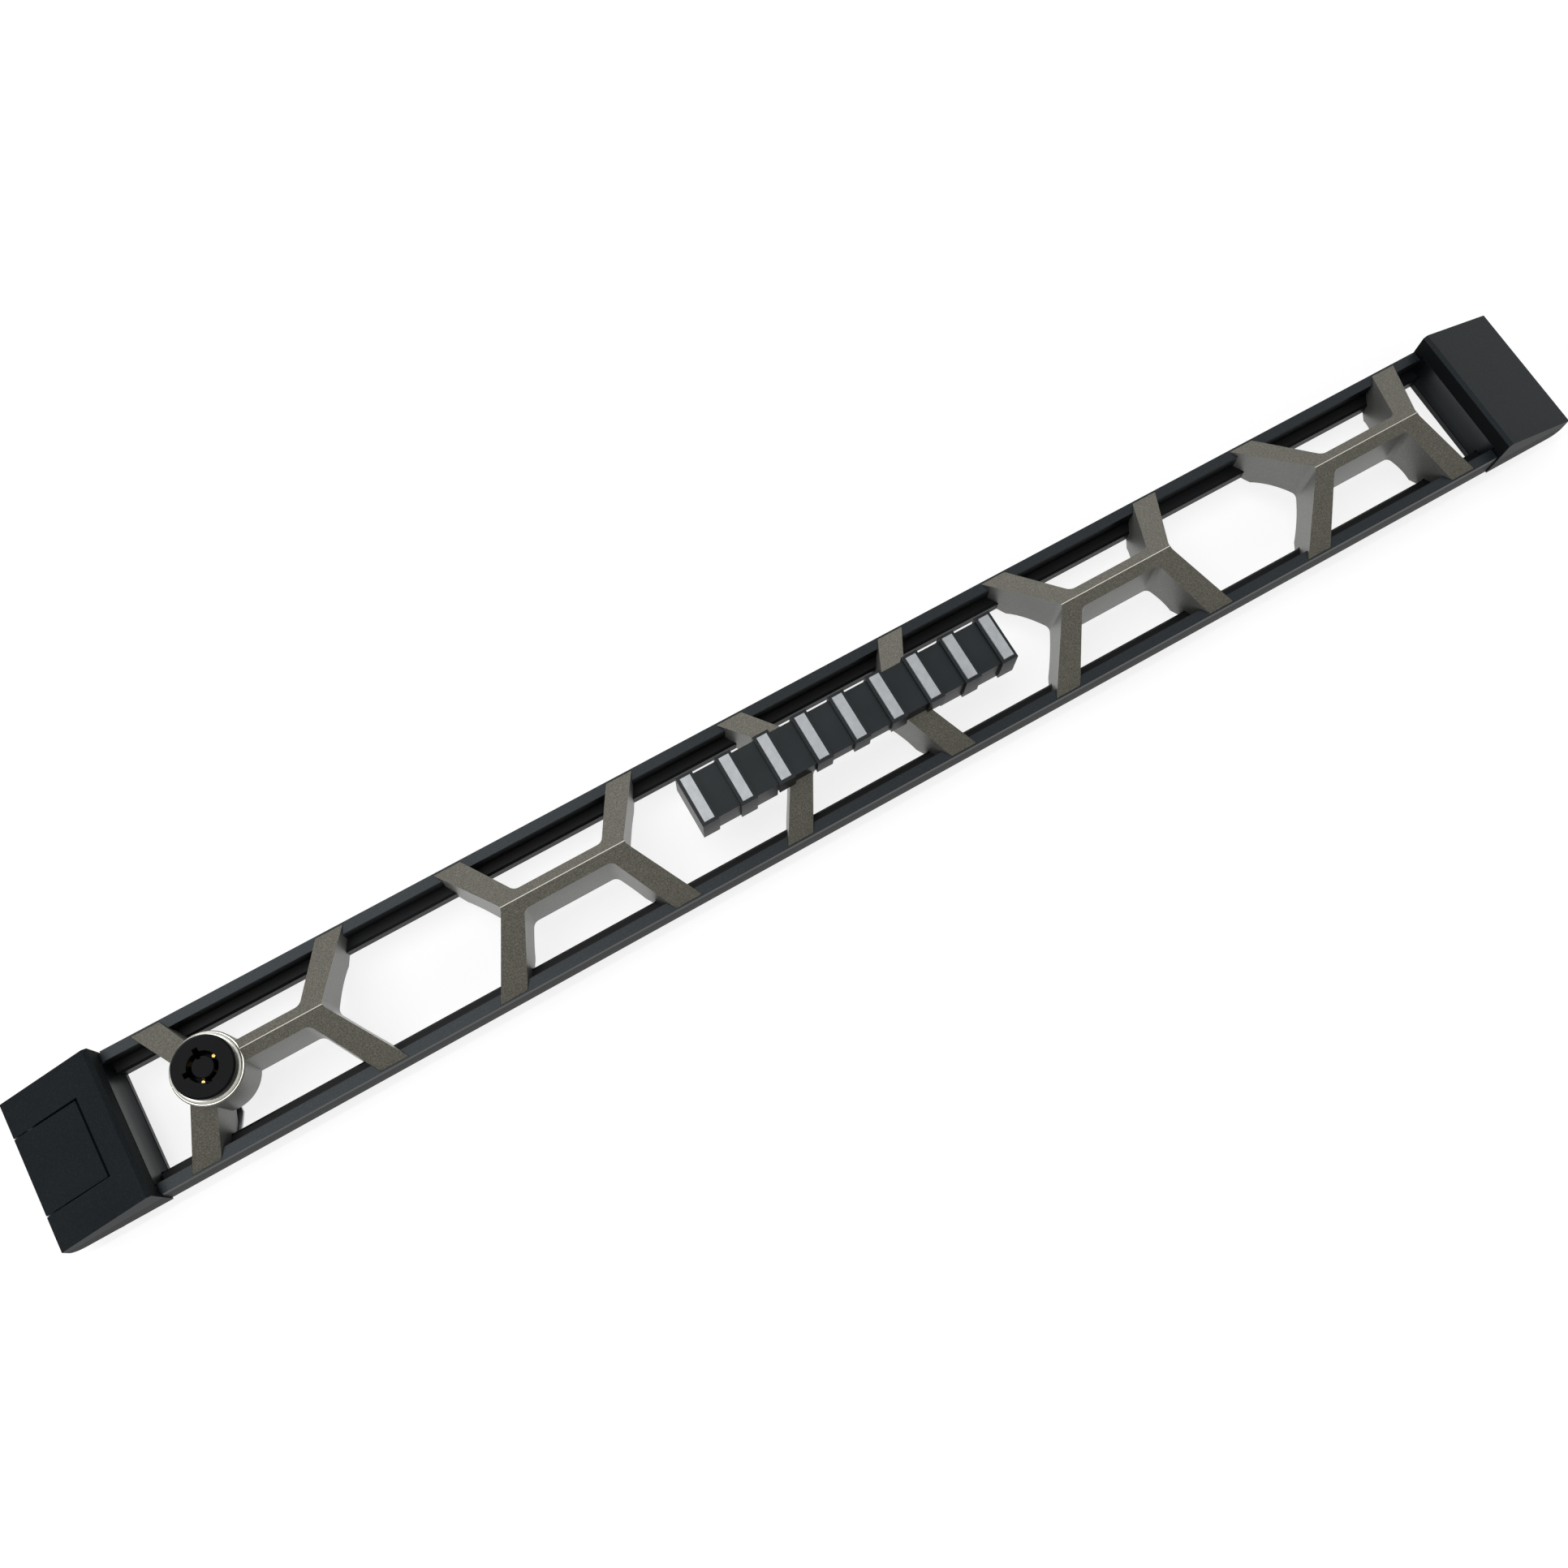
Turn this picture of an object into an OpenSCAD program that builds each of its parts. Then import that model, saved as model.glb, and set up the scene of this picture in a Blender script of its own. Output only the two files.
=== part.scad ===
// Lockable front bezel for a one-unit rack server.
//
// Everything is drawn about the ridge of the lattice: x runs to the right as seen from the front,
// y is the depth behind the ridge line and z is the height above mid-height.
// seated() then stands the bezel on its lower edge, with the origin under its middle.

/* [Overall] */
// Width across both end caps
bezel_w = 482; // [470:1:500]
// Height of the end caps
cap_h = 42.1; // [41.6:0.1:43]
// Height over the two rails
rail_h = 41.2; // [40.2:0.1:41.4]

/* [Rails] */
// Depth from the ridge line back to the flat front of the rails
land_d = 12; // [11:0.1:13]
// Width of the flat front of each rail
land_w = 3; // [2.6:0.1:3.4]
// Depth from the ridge line to the seam between front and rear frame
seam_d = 14.3; // [14:0.1:14.8]
// Depth from the ridge line to the front of the inner flange
flange_front_d = 17.3; // [17:0.1:17.8]
// Depth from the ridge line to the rear face
rear_d = 21.4; // [21.2:0.1:23]
// Height of the window between the inner flanges
window_h = 28.6; // [27.8:0.1:29.4]

/* [Lattice] */
// How far the lattice's share of the width reaches under each cap
strut_margin = 3; // [0:0.1:5]
// Length of a ridge from node to node
ridge_l = 36; // [34:0.5:38]
// Width of the bars and arms at their front
strut_w = 5.8; // [5.4:0.1:6.4]
// Angle of the arms from the horizontal
arm_angle = 60; // [56:1:64]
// Draft of the side walls
strut_draft = 2.5; // [1:0.5:3]
// Depth of a strut behind its ridge, at the middle
strut_core_d = 16; // [15:0.1:17]
// Rim of the rails outside the ends of the arms
arm_rim = 0.5; // [0.4:0.1:0.8]
// Fillet radius where bars and arms meet
strut_fillet = 2.4; // [1:0.1:3]

/* [End caps] */
// Width of each end cap
cap_w = 26; // [25.5:0.1:27]
// Depth of the cap's high edge behind the ridge line
cap_high_d = 5.2; // [4.8:0.1:6]
// Depth of the cap's low edge behind the ridge line
cap_low_d = 13.7; // [13:0.1:14.2]
// Wall thickness of the caps
cap_wall = 1.8; // [1.6:0.1:2]
// Width of the bevel along the high edge
cap_bevel = 1.2; // [0.8:0.1:1.4]
// Depth of the seam at the outer end of a cap
cap_seam_d = 16.8; // [16.4:0.1:17.4]

/* [Release button] */
// Length of the release button, inward from the end
button_l = 19.4; // [18.8:0.1:20]
// Height of the release button
button_h = 21.6; // [20:0.1:22.4]
// Gap round the button
button_gap = 0.4; // [0.3:0.05:0.5]
// How far the button lies below the cap at its inner edge
button_step = 0.8; // [0.6:0.1:1]
// Angle through which the button is pressed
button_press = 6; // [4:0.5:6]

/* [Latch] */
// Height of the sliding latch
latch_h = 12; // [10:0.5:13]
// Thickness of the sliding latch
latch_t = 2.3; // [2:0.1:2.4]
// Travel of the latch
latch_travel = 1.9; // [1.5:0.1:1.9]
// How far the hooks reach behind the rear face
hook_reach = 6.8; // [5:0.1:8]
// Width of a hook's leg
hook_leg = 3; // [2.5:0.1:3.4]
// How far a hook's tip stands out from its leg
hook_tip = 2.6; // [2:0.1:3]

/* [Lock] */
// Distance of the lock from the middle of its strut
lock_offset = 13.9; // [13:0.1:14.5]
// Radius of the black lock face
lock_face_r = 8.2; // [7.8:0.1:8.6]
// How far the lock face stands in front of the ridge
lock_proud = 1.6; // [1:0.1:2]
// Radius of the silver collar
collar_r = 9.3; // [9:0.05:9.6]
// Radius of the threaded lock body
lock_body_r = 6.6; // [6:0.1:7]
// Outer radius of the ring-shaped keyway
keyway_r = 4.1; // [3.9:0.1:4.4]
// Radius of the turning centre post
post_r = 2.9; // [2.6:0.05:3]
// Distance of the cam's pin from the lock axis
cam_pin_offset = 6; // [5.6:0.1:6.4]

/* [Badge] */
// Number of upright bars on the badge
badge_bars_n = 9; // [5:1:9]
// Spacing of the badge's bars
badge_pitch = 11.7; // [10:0.1:12]
// Width of a silver badge bar
badge_bar_w = 3.1; // [2:0.1:3.6]
// Height of a silver badge bar
badge_bar_h = 13.6; // [12:0.1:14]
// Depth of the badge's skirt
badge_skirt_d = 10.4; // [8:0.1:11]

/* [Hidden] */
$fn = 48;

strut_n = 5;                             // struts in the lattice
half_w = bezel_w / 2;
strut_pitch = (bezel_w - 2 * cap_w + 2 * strut_margin) / strut_n;
cap_z = cap_h / 2;
rail_z = rail_h / 2;
land_z = rail_z - land_w;                // inner edge of the rails' flat front
window_z = window_h / 2;
cap_x = half_w - cap_w;                  // high edge of an end cap
cap_inner_x = cap_x - cap_bevel;         // steep inner wall of an end cap
post_x = cap_inner_x - 2.3;              // window edge of the frame's end post
land_end_x = cap_inner_x - 0.8;          // where the rails' flat front stops
cap_slope = (cap_low_d - cap_high_d) / cap_w;
seam_slope = (cap_seam_d - seam_d) / (half_w - cap_inner_x);
fit = 0.1;                               // gap between parts that nest
slack = 0.3;                             // gap beside parts that move
tongue_w = 1.5;                          // tongue of the front frame behind its seam
tongue_end_d = flange_front_d - fit;
end_plate_d = rear_d - 2;                // front of the rear frame's end plates
end_wall = 1.8;                          // walls of the rear frame's ends
pad_reach = 1.6;                         // pads behind the rear face at both ends
pad_w = 9;                               // their inner edge from the bezel's end

screw_r = 1;                             // shank of the small screws
screw_head_r = 1.7;
screw_head_t = 1.1;

arm_lean = 90 - arm_angle;
arm_turn = 90 + arm_lean;                // direction of an arm, turned from the horizontal
arm_end_z = rail_z - arm_rim;            // end of the arms, where their facets come down to the rails' front
node_x = ridge_l / 2;
arm_out = node_x * sin(arm_angle);       // distance of an arm's outer edge from the strut's middle
arm_screw_z = (land_z + window_z) / 2 + 0.3;
arm_screw_x = node_x - strut_w / 2 / sin(arm_angle) + arm_screw_z * tan(arm_lean);
tab_d = 2;                               // thickness of the arm ends laid into the rails

lock_x = -(strut_n - 1) / 2 * strut_pitch - lock_offset;
collar_front_d = 0.6;                    // the head's rear face, where the collar begins
collar_t = 1.5;
boss_d = collar_front_d + collar_t;
boss_r = collar_r + 0.3;
nut_t = 2.6;
nut_r = lock_body_r * 1.3;
nut_d = strut_core_d + fit;
barrel_end_d = rear_d - 0.2;
keyway_depth = 5;
tail_r = 2.2;
bar_front_d = rear_d + slack;            // the locking bar's front face
bar_t = 1.2;
cam_front_d = bar_front_d + bar_t + slack;
cam_t = 1.4;
cam_pin_r = 1.1;
cam_swing = 90;                          // turn of the lock
cam_start = 270 - cam_swing / 2;         // direction of the cam while locked
cam_travel = 2 * cam_pin_offset * sin(cam_swing / 2);
notch_w = 1.5;

button_pin_x = -(half_w - button_l) + 2.4;
button_pin_d = 12;
button_pin_r = 1;
button_barrel_r = 2;
button_t = 1.6;
button_in_d = cap_low_d - cap_slope * button_l + button_step;   // its front at the inner edge
button_slope = (cap_low_d - button_in_d) / button_l;
button_end_d = 20.4;                     // rear of the button's side wall
button_post_x = -(half_w - 9);
button_post_d = 14.2;

latch_d = end_plate_d - latch_t - 0.2;   // front of the latch plate
latch_left = -(half_w - 6);
latch_right = -(half_w - 20.4);
latch_ramp_gap = 0.2;
latch_spring_r = 1.7;
hook_end_d = rear_d + hook_reach;

badge_front_d = -2.4;                    // black outlines round the bars
badge_plate_d = -1.3;                    // plate between them
badge_rim = 0.9;
badge_plate_h = 14;
badge_wall = 1.4;
badge_stud_x = 9;
badge_stud_d = 1.4;                      // spot face on the strut under a badge stud
badge_stud_r = 2.2;
badge_back_d = badge_front_d + badge_skirt_d;

front_d = min(badge_front_d - 0.6, -lock_proud);
back_d = max(hook_end_d, cam_front_d + cam_t + screw_head_t + 0.8);
mid_d = (front_d + back_d) / 2;

// Stands the bezel on its lower edge with the origin under its middle
module seated() {
    translate([0, -mid_d, cap_z]) children();
}

// Outline in x and z, carried back from depth d0 to depth d1
module back_from(d0, d1) {
    translate([0, d1, 0]) rotate([90, 0, 0]) linear_extrude(d1 - d0) children();
}

// Outline in x and depth, carried up from z0 to z1
module up_from(z0, z1) {
    translate([0, 0, z0]) linear_extrude(z1 - z0) children();
}

// Outline in depth and z, carried across from x0 to x1
module across(x0, x1) {
    translate([x0, 0, 0]) rotate([90, 0, 90]) linear_extrude(x1 - x0) children();
}

// Block between two corners
module block(low, high) {
    translate(low) cube(high - low);
}

// Round rod along the depth
module rod(x, z, r, d0, d1) {
    translate([x, d1, z]) rotate([90, 0, 0]) cylinder(r = r, h = d1 - d0);
}

module mirrored_x() {
    children();
    mirror([1, 0, 0]) children();
}

module mirrored_z() {
    children();
    mirror([0, 0, 1]) children();
}

function strut_x(k) = (k - (strut_n - 1) / 2) * strut_pitch;

// Depth of the button's face at a distance x from the middle
function button_face(x) = cap_low_d - (half_w + x) * button_slope;

// Depth of a cap's face at a distance x from the middle, x being positive
function cap_face(x) = cap_low_d - (half_w - x) * cap_slope;

// Depth of the seam in the end caps
function cap_seam(x) = seam_d + (x - cap_inner_x) * seam_slope;

/* ---------- frame ---------- */

// One rail of the front frame in section, above the middle
module front_rail_section() {
    polygon([[land_d, land_z], [land_d, rail_z], [seam_d, rail_z], [seam_d, land_z + tongue_w],
             [tongue_end_d, land_z + tongue_w], [tongue_end_d, land_z]]);
}

// One rail of the rear frame in section, above the middle, with a bevel along its inner edge
module rear_rail_section() {
    bevel = 0.6;
    polygon([[seam_d + 0.05, rail_z], [rear_d, rail_z], [rear_d, window_z],
             [flange_front_d + bevel, window_z], [flange_front_d, window_z + bevel],
             [flange_front_d, land_z + tongue_w + fit], [seam_d + 0.05, land_z + tongue_w + fit]]);
}

// End post between window and cap: a hollow scoop in plan, from a narrow lip up to the cap's inner wall
module end_post_section() {
    lip = [post_x + 0.4, end_plate_d - 0.4];
    top = [cap_inner_x - 0.1, land_d - 0.6];
    scoop_r = 14;
    chord = norm(top - lip);
    back = sqrt(pow(scoop_r, 2) - pow(chord / 2, 2));
    centre = (lip + top) / 2 - back / chord * [lip[1] - top[1], top[0] - lip[0]];
    difference() {
        polygon([[post_x, lip[1]], lip, top, [cap_inner_x + cap_bevel - 0.2, land_d - 0.6],
                 [cap_inner_x + cap_bevel - 0.2, end_plate_d - fit], [post_x, end_plate_d - fit]]);
        translate(centre) circle(r = scoop_r, $fn = 96);
    }
}

// Notches in the rails that take the ends of a strut's arms
module arm_end_notches(k) {
    translate([strut_x(k), 0, 0]) mirrored_x() mirrored_z()
        intersection() {
            arm_prism(fit);
            block([0, land_d - 1, land_z - 1], [2 * ridge_l, land_d + tab_d + 0.05, arm_end_z + fit]);
        }
}

module front_frame() {
    color("#2b3034") seated() difference() {
        union() {
            mirrored_z() across(-land_end_x, land_end_x) front_rail_section();
            // the rails run on inside the caps, below their flat front
            mirrored_x() mirrored_z()
                block([land_end_x - 0.01, land_d + 1.2, land_z], [cap_inner_x + cap_bevel - 0.2, seam_d, rail_z]);
            mirrored_x() mirrored_z()
                block([land_end_x - 0.01, seam_d - 0.01, land_z],
                      [cap_inner_x + cap_bevel - 0.2, tongue_end_d, land_z + tongue_w]);
            mirrored_x() difference() {
                up_from(-land_z - 0.01, land_z + 0.01) end_post_section();
                // the rear frame's flange lies here
                mirrored_z() block([post_x - 1, tongue_end_d, window_z - fit], [cap_inner_x + fit, rear_d, land_z + 1]);
            }
        }
        for (k = [0 : strut_n - 1]) arm_end_notches(k);
    }
}

// Rear frame's end in plan, on the right
module rear_end_section() {
    round_r = 3.2;
    difference() {
        polygon([[cap_inner_x, cap_seam(cap_inner_x) + 0.05], [half_w, cap_seam_d + 0.05],
                 [half_w, rear_d], [cap_inner_x, rear_d]]);
        // rounded outer corner at the back
        translate([half_w - round_r, rear_d - round_r]) difference() {
            square(2 * round_r);
            circle(r = round_r);
        }
    }
}

module rear_end() {
    difference() {
        union() {
            up_from(-cap_z, cap_z) rear_end_section();
            mirrored_z() block([half_w - pad_w, rear_d - 0.5, cap_z - 6.5], [half_w - 3.2, rear_d + pad_reach, cap_z - 0.4]);
        }
        block([cap_inner_x - 1, 0, -cap_z + end_wall], [half_w - end_wall, end_plate_d, cap_z - end_wall]);
    }
}

module rear_frame() {
    color("#24282b") seated() difference() {
        union() {
            mirrored_z() across(-cap_inner_x - 0.01, cap_inner_x + 0.01) rear_rail_section();
            mirrored_x() rear_end();
            // end plates reach in behind the end posts
            mirrored_x() block([post_x, end_plate_d, -window_z - 0.01], [cap_inner_x + 0.01, rear_d, window_z + 0.01]);
        }
        // room for the button's side wall
        block([-half_w - 1, 0, -button_h / 2 - button_gap],
              [-half_w + end_wall + 1.4, rear_d + 1, button_h / 2 + button_gap]);
        // slot for the latch's leg
        block([latch_left - slack, end_plate_d - 1, -latch_h / 2 + 1.7],
              [latch_left + hook_leg + latch_travel + slack, rear_d + 1, latch_h / 2 - 1.7]);
        // screws
        for (k = [0 : strut_n - 1]) translate([strut_x(k), 0, 0]) mirrored_x() mirrored_z() {
            rod(arm_screw_x, arm_screw_z, screw_r + fit, flange_front_d - 1, rear_d + 1);
            rod(arm_screw_x, arm_screw_z, screw_head_r + 0.15, rear_d - screw_head_t, rear_d + 1);
        }
        mirrored_x() mirrored_z() {
            rod(cap_screw_x, cap_screw_z, screw_r + fit, end_plate_d - 1, rear_d + 1);
            rod(cap_screw_x, cap_screw_z, screw_head_r + 0.15, rear_d - screw_head_t, rear_d + 1);
        }
        mirrored_z() rod(hook_screw_x, hook_screw_z, screw_r, end_plate_d - 1, rear_d + 1);
        for (x = bar_screw_xs) rod(x, bar_z, bar_screw_r + 0.05, flange_front_d + 0.8, rear_d + 1);
    }
}

/* ---------- lattice ---------- */

// Section across a drafted wall: distance from the middle and depth
module drafted_section(out, w, grow = 0) {
    spread = rear_d * tan(strut_draft);
    polygon([[out + grow, 0], [out + spread + grow, rear_d],
             [out - w - spread - grow, rear_d], [out - w - grow, 0]]);
}

// Upper right arm, leaning out from the node and cut off at mid-height
module arm_prism(grow = 0) {
    intersection() {
        rotate([0, arm_lean, 0]) linear_extrude(rail_h + ridge_l) drafted_section(arm_out, strut_w, grow);
        block([0, 0, 0], [2 * ridge_l, rear_d, rail_h]);
    }
}

// Fillet in a corner that opens towards angle aim and leans back with the draft
module corner_fillet(x, z, aim, opening) {
    reach = strut_fillet / sin(opening / 2);
    tilt = atan(tan(strut_draft) / sin(opening / 2));
    translate([x, 0, z]) rotate([0, -aim, 0]) rotate([0, 0, -tilt])
        back_from(-1, strut_core_d + 1) difference() {
            polygon([[-1, 0], [reach * pow(cos(opening / 2), 2), reach * sin(opening / 2) * cos(opening / 2)],
                     [reach * pow(cos(opening / 2), 2), -reach * sin(opening / 2) * cos(opening / 2)]]);
            translate([reach, 0]) circle(r = strut_fillet);
        }
}

// Side view of a strut: roof in front, arch behind, tabs at both ends that lie in the rails
module strut_side() {
    arch_z = 11.5;
    arch_rise = rear_d - 0.6 - strut_core_d;
    arch_r = (pow(arch_z, 2) + pow(arch_rise, 2)) / 2 / arch_rise;
    difference() {
        polygon([[0, 0], [land_d, arm_end_z], [land_d + tab_d, arm_end_z],
                 [land_d + tab_d, land_z - fit], [flange_front_d - 0.02, land_z - fit],
                 [flange_front_d - 0.02, window_z - fit], [rear_d - 0.6, window_z - fit],
                 [rear_d - 0.6, -window_z + fit], [flange_front_d - 0.02, -window_z + fit],
                 [flange_front_d - 0.02, -land_z + fit], [land_d + tab_d, -land_z + fit],
                 [land_d + tab_d, -arm_end_z], [land_d, -arm_end_z]]);
        translate([strut_core_d + arch_r, 0]) circle(r = arch_r, $fn = 96);
    }
}

module strut_body() {
    bar_end = node_x - strut_w * 0.7;
    inner_x = node_x - strut_w / sin(arm_angle) + strut_w / 2 * tan(arm_lean);
    difference() {
        intersection() {
            union() {
                mirrored_x() mirrored_z() arm_prism();
                across(-bar_end, bar_end) rotate(90) mirror([0, 1]) drafted_section(strut_w / 2, strut_w);
                mirrored_x() corner_fillet(node_x, 0, 0, 2 * arm_angle);
                mirrored_x() mirrored_z() corner_fillet(inner_x, strut_w / 2, arm_turn, arm_turn);
            }
            across(-2 * ridge_l, 2 * ridge_l) strut_side();
        }
        mirrored_x() mirrored_z() rod(arm_screw_x, arm_screw_z, screw_r + 0.05, land_d + 1.4, rear_d);
    }
}

module lock_strut() {
    color("#6b6a62") seated() difference() {
        union() {
            translate([strut_x(0), 0, 0]) difference() {
                strut_body();
                rod(-lock_offset, 0, boss_r - 0.2, -5, boss_d);
            }
            rod(lock_x, 0, boss_r, boss_d, strut_core_d);
        }
        rod(lock_x, 0, lock_body_r + fit, -5, rear_d);
        rod(lock_x, 0, nut_r + slack, strut_core_d, rear_d);
    }
}

module strut_2() { color("#6b6a62") seated() translate([strut_x(1), 0, 0]) strut_body(); }

module strut_3() {
    color("#6b6a62") seated() difference() {
        translate([strut_x(2), 0, 0]) strut_body();
        mirrored_x() {
            rod(badge_stud_x, 0, badge_stud_r + 0.2, -1, badge_stud_d);
            rod(badge_stud_x, 0, screw_r + fit, -1, rear_d);
        }
    }
}

module strut_4() { color("#6b6a62") seated() translate([strut_x(3), 0, 0]) strut_body(); }

module strut_5() { color("#6b6a62") seated() translate([strut_x(4), 0, 0]) strut_body(); }

// Pan-head screw driven forwards: head behind seat_d, tip at tip_d
module screw(x, z, seat_d, tip_d, head_r = screw_head_r, shank_r = screw_r) {
    difference() {
        union() {
            rod(x, z, shank_r, tip_d, seat_d + 0.01);
            rod(x, z, head_r, seat_d, seat_d + screw_head_t);
        }
        // six-lobe drive, drawn as a plain hexagon socket
        translate([x, seat_d + screw_head_t + 0.01, z]) rotate([90, 0, 0])
            cylinder(r = head_r * 0.48, h = screw_head_t * 0.55, $fn = 6);
    }
}

module strut_screws() {
    color("#8a8d90") seated()
        for (k = [0 : strut_n - 1], sx = [-1, 1], sz = [-1, 1])
            screw(strut_x(k) + sx * arm_screw_x, sz * arm_screw_z, rear_d - screw_head_t, land_d + 1.7);
}

/* ---------- end caps ---------- */

cap_screw_x = half_w - 12;
cap_screw_z = cap_z - 4.6;
cap_boss_r = 2.4;
cap_screw_l = 5;                         // how far a cap screw reaches into its boss

// Outer skin of the right cap in plan: bevel, sloping face and outer end, down to the seam
module cap_plan(inset = 0) {
    polygon([[cap_inner_x + inset, cap_seam(cap_inner_x)],
             [cap_inner_x + inset, cap_face(cap_x) + cap_bevel * 0.6 + inset],
             [cap_x + inset * 0.4, cap_face(cap_x) + inset * 1.1],
             [half_w - inset, cap_low_d + inset * (1 + cap_slope)],
             [half_w - inset, cap_seam_d + (inset > 0 ? 1 : 0)],
             [cap_inner_x + inset, cap_seam(cap_inner_x) + (inset > 0 ? 1 : 0)]]);
}

// Hollow right end cap with its screw bosses, and the small chamfers at its inner corners
module cap_shell() {
    difference() {
        union() {
            difference() {
                up_from(-cap_z, cap_z) cap_plan();
                up_from(-cap_z + cap_wall, cap_z - cap_wall) cap_plan(cap_wall);
            }
            mirrored_z() intersection() {
                rod(cap_screw_x, cap_screw_z, cap_boss_r, 0, end_plate_d - 0.05);
                up_from(-cap_z, cap_z) polygon([[cap_inner_x, cap_face(cap_x) + 1], [cap_x, cap_face(cap_x) + 0.5],
                                                [half_w, cap_low_d + 0.5], [half_w, rear_d], [cap_inner_x, rear_d]]);
            }
        }
        mirrored_z() rod(cap_screw_x, cap_screw_z, screw_r + 0.05, end_plate_d - cap_screw_l - 1, rear_d);
        // the wall stands over the rails
        mirrored_z() block([cap_inner_x - 1, land_d + 1.1, land_z - 0.2],
                           [cap_inner_x + cap_bevel, rear_d, rail_z + 0.1]);
        block([cap_inner_x - 1, land_d - 0.7, -land_z - 0.3], [cap_inner_x + cap_bevel, rear_d, land_z + 0.3]);
    }
}

module left_end_cap() {
    color("#1b1e20") seated() difference() {
        union() {
            mirror([1, 0, 0]) cap_shell();
            // lugs for the button's hinge pin
            mirrored_z() block([button_pin_x - 2, cap_face(-button_pin_x) + 1, button_h / 2 + 0.6],
                               [button_pin_x + 2.2, button_pin_d + 2.2, button_h / 2 + 3]);
        }
        // button opening
        block([-half_w - 1, 0, -button_h / 2 - button_gap],
              [-half_w + button_l + button_gap, rear_d, button_h / 2 + button_gap]);
        translate([button_pin_x, button_pin_d, -button_h / 2 - 2.2]) cylinder(r = button_pin_r + 0.02, h = button_h + 4.4);
    }
}

module right_end_cap() { color("#353a3a") seated() cap_shell(); }

module cap_screws() {
    color("#8a8d90") seated()
        for (sx = [-1, 1], sz = [-1, 1])
            screw(sx * cap_screw_x, sz * cap_screw_z, rear_d - screw_head_t, end_plate_d - cap_screw_l);
}

/* ---------- release button and latch ---------- */

// The button in plan: sloping plate, side wall at the outer end and a neck to the hinge barrel
module button_plan() {
    inner_x = -(half_w - button_l);
    polygon([[-half_w, cap_low_d], [inner_x - 0.5, button_in_d], [inner_x, button_in_d + 0.5],
             [inner_x, button_in_d + button_t + 0.3], [-half_w + button_t, cap_low_d + button_t],
             [-half_w + button_t, button_end_d], [-half_w, button_end_d]]);
}

module release_button() {
    inner_x = -(half_w - button_l);
    color("#202426") seated() difference() {
        union() {
            up_from(-button_h / 2, button_h / 2) button_plan();
            // neck and barrel round the hinge pin
            up_from(-button_h / 2 + 2, button_h / 2 - 2)
                polygon([[inner_x - 2.6, button_in_d + button_t], [inner_x - 0.4, button_in_d + button_t],
                         [button_pin_x + 0.8, button_pin_d - 1], [button_pin_x - 1, button_pin_d + 1.5]]);
            translate([button_pin_x, button_pin_d, -button_h / 2 + 1])
                cylinder(r = button_barrel_r, h = button_h - 2);
            // post that pushes the latch
            up_from(-latch_h / 2 + 2, latch_h / 2 - 2) {
                polygon([[button_post_x - 1, button_face(button_post_x) + 1],
                         [button_post_x + 1, button_face(button_post_x) + 1],
                         [button_post_x + 1, button_post_d], [button_post_x - 1, button_post_d]]);
                translate([button_post_x, button_post_d]) circle(r = 1);
            }
        }
        translate([button_pin_x, button_pin_d, -button_h]) cylinder(r = button_pin_r + 0.05, h = 2 * button_h);
    }
}

module button_pin() {
    color("#b8babc") seated()
        translate([button_pin_x, button_pin_d, -button_h / 2 - 2.1]) cylinder(r = button_pin_r, h = button_h + 4.2);
}

// Helical spring along z from 0 to its length: a ring of wire_n corners swept round the coil
module coil_spring(length, r, wire_r, turns) {
    wire_n = 6;
    step_n = 14;
    total = turns * step_n;
    pitch = (length - 2 * wire_r) / turns;
    ring = [for (i = [0 : total], j = [0 : wire_n - 1])
        let (a = 360 * i / step_n, b = 360 * j / wire_n, rr = r + wire_r * cos(b))
        [rr * cos(a), rr * sin(a), wire_r + pitch * i / step_n + wire_r * sin(b)]];
    sides = [for (i = [0 : total - 1], j = [0 : wire_n - 1])
        let (a = i * wire_n + j, b = i * wire_n + (j + 1) % wire_n)
        [a, b, b + wire_n, a + wire_n]];
    ends = [[for (j = [wire_n - 1 : -1 : 0]) j], [for (j = [0 : wire_n - 1]) total * wire_n + j]];
    polyhedron(points = ring, faces = concat(sides, ends), convexity = 10);
}

button_spring_x = -(half_w - 5.6);

module button_spring() {
    front = button_face(button_spring_x) + button_t + 0.5;
    color("#c8cacc") seated()
        translate([button_spring_x, end_plate_d - 0.05, button_h / 2 - 2.3]) rotate([90, 0, 0])
            coil_spring(end_plate_d - 0.1 - front, 1.6, 0.25, 4);
}

// Latch in plan: plate, ramp under the button's post, leg and barbed hook
module latch_hook_plan() {
    polygon([[latch_left, latch_d], [latch_left + hook_leg, latch_d], [latch_left + hook_leg, hook_end_d],
             [latch_left, hook_end_d], [latch_left - hook_tip, hook_end_d - 2.6],
             [latch_left - hook_tip, hook_end_d - 3.4], [latch_left, hook_end_d - 3.4]]);
}

module latch_ramp_plan() {
    meet = 1 + latch_ramp_gap;
    foot_x = button_post_x + meet * sqrt(2) + button_post_d - latch_d;
    top_d = latch_d - 3;
    polygon([[foot_x, latch_d + 0.5], [foot_x, latch_d], [foot_x + 3, top_d], [foot_x + 5.2, top_d],
             [foot_x + 5.2, latch_d + 0.5]]);
}

module latch_slider() {
    color("#3b4144") seated() {
        block([latch_left, latch_d, -latch_h / 2], [latch_right, latch_d + latch_t, latch_h / 2]);
        up_from(-latch_h / 2 + 2, latch_h / 2 - 2) latch_hook_plan();
        up_from(-latch_h / 2 + 2, latch_h / 2 - 2) latch_ramp_plan();
    }
}

latch_seat_x = -cap_inner_x - cap_bevel + 0.2;

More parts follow.
